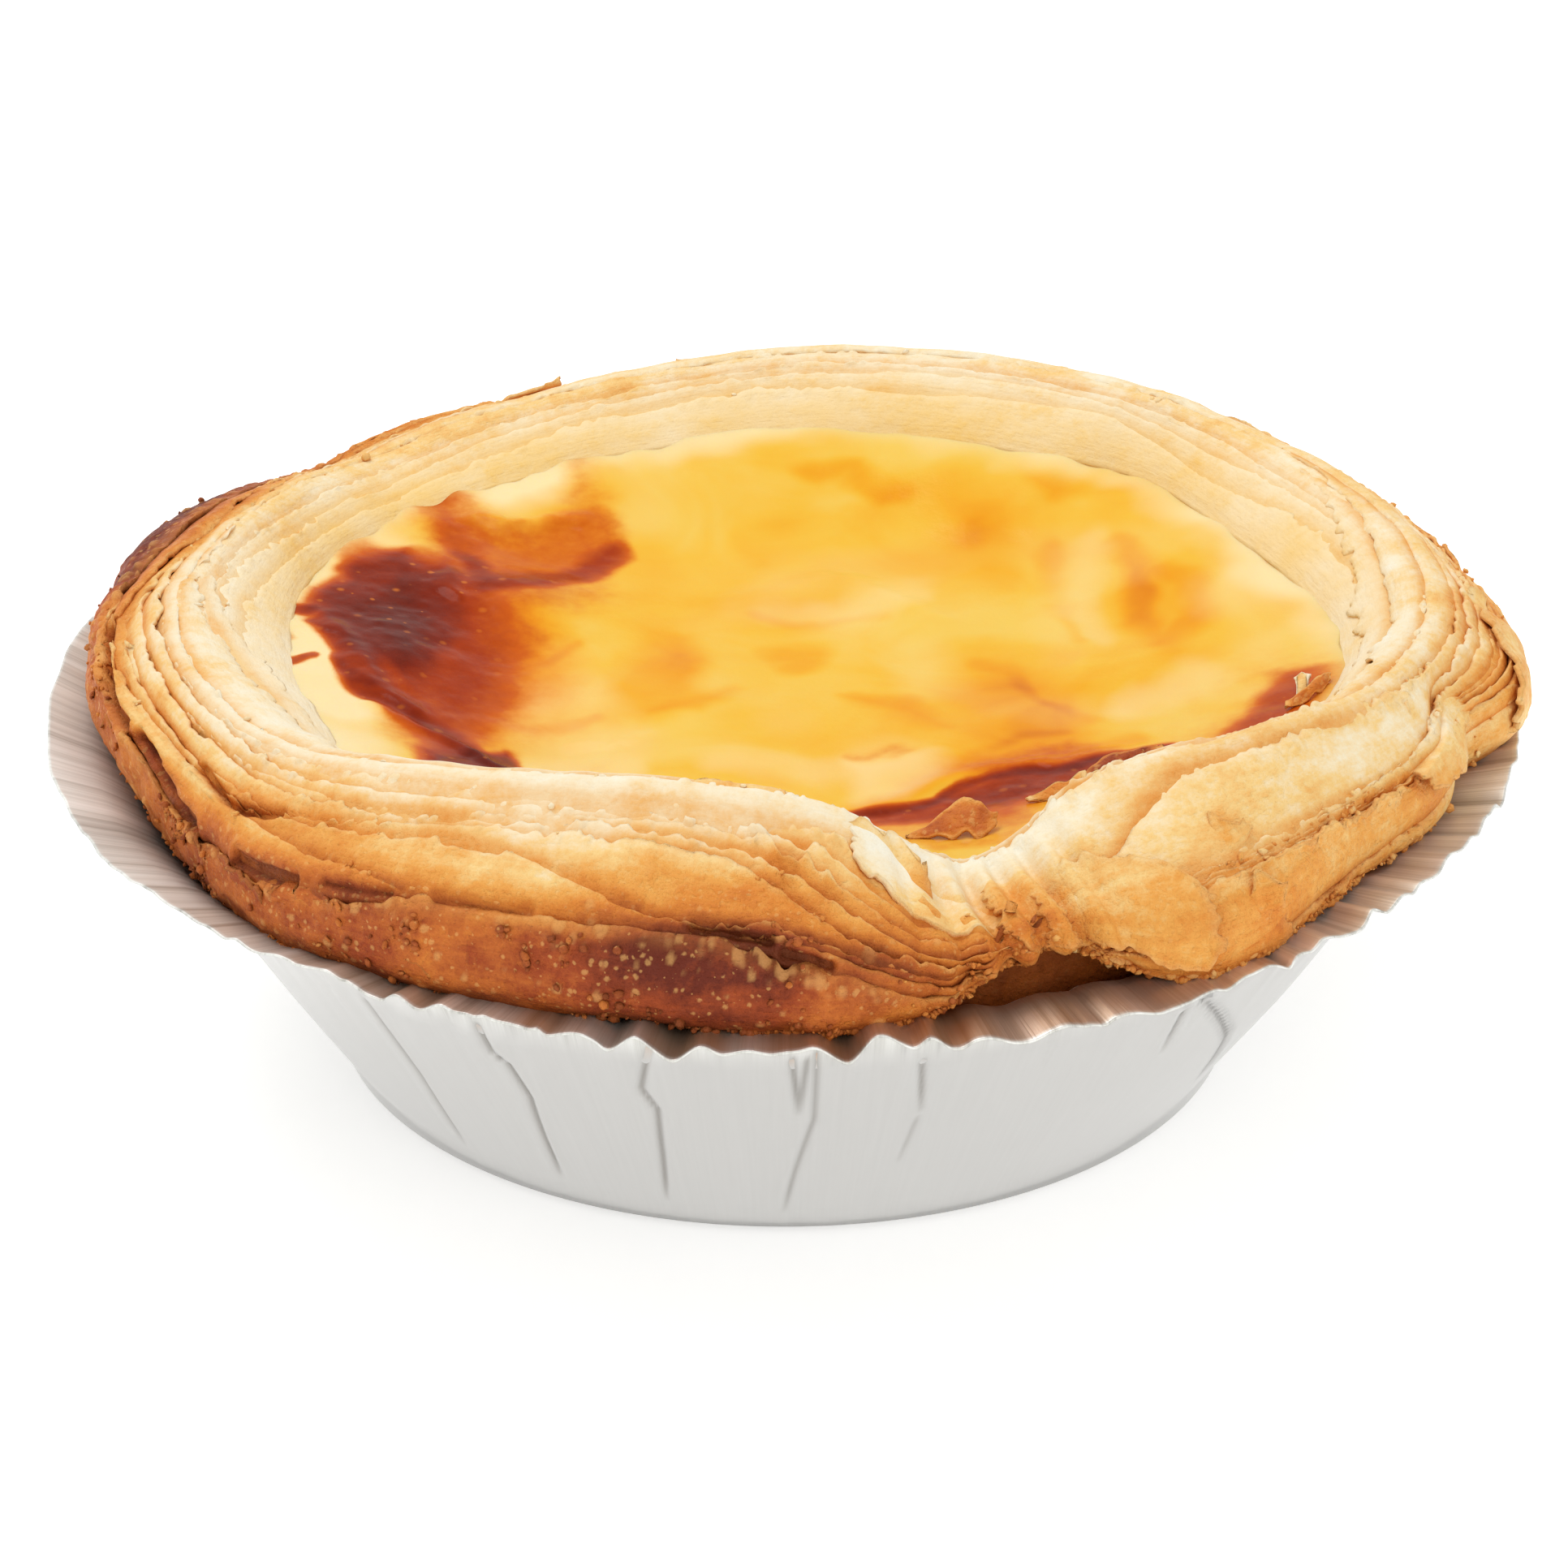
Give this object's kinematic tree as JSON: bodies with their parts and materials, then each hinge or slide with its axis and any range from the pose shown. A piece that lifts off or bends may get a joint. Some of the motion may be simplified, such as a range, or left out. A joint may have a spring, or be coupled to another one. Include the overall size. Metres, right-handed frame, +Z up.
{
  "type": "egg tart",
  "caption": "Baked custard tart: rolled, flaky puff pastry rim round a dished, scorched custard, in its own crimped foil case.",
  "frame": {"origin": "centre of the foil case's flat base, on its underside", "axes": "+Z up out of the tart, -Y towards the front, where the rim is pinched, +X to the right"},
  "size_m": [0.083, 0.083, 0.0301],
  "materials": {
    "foil": "thin rolled aluminium foil, satin, crimped lip",
    "pastry": "baked puff pastry, cream to golden brown, matte with a faint butter sheen",
    "custard": "baked egg custard skin, glossy, with caramelised patches"
  },
  "bodies": {
    "root": {"foil_case": "foil", "pastry_shell": "pastry", "custard": "custard"}
  },
  "joints": []
}
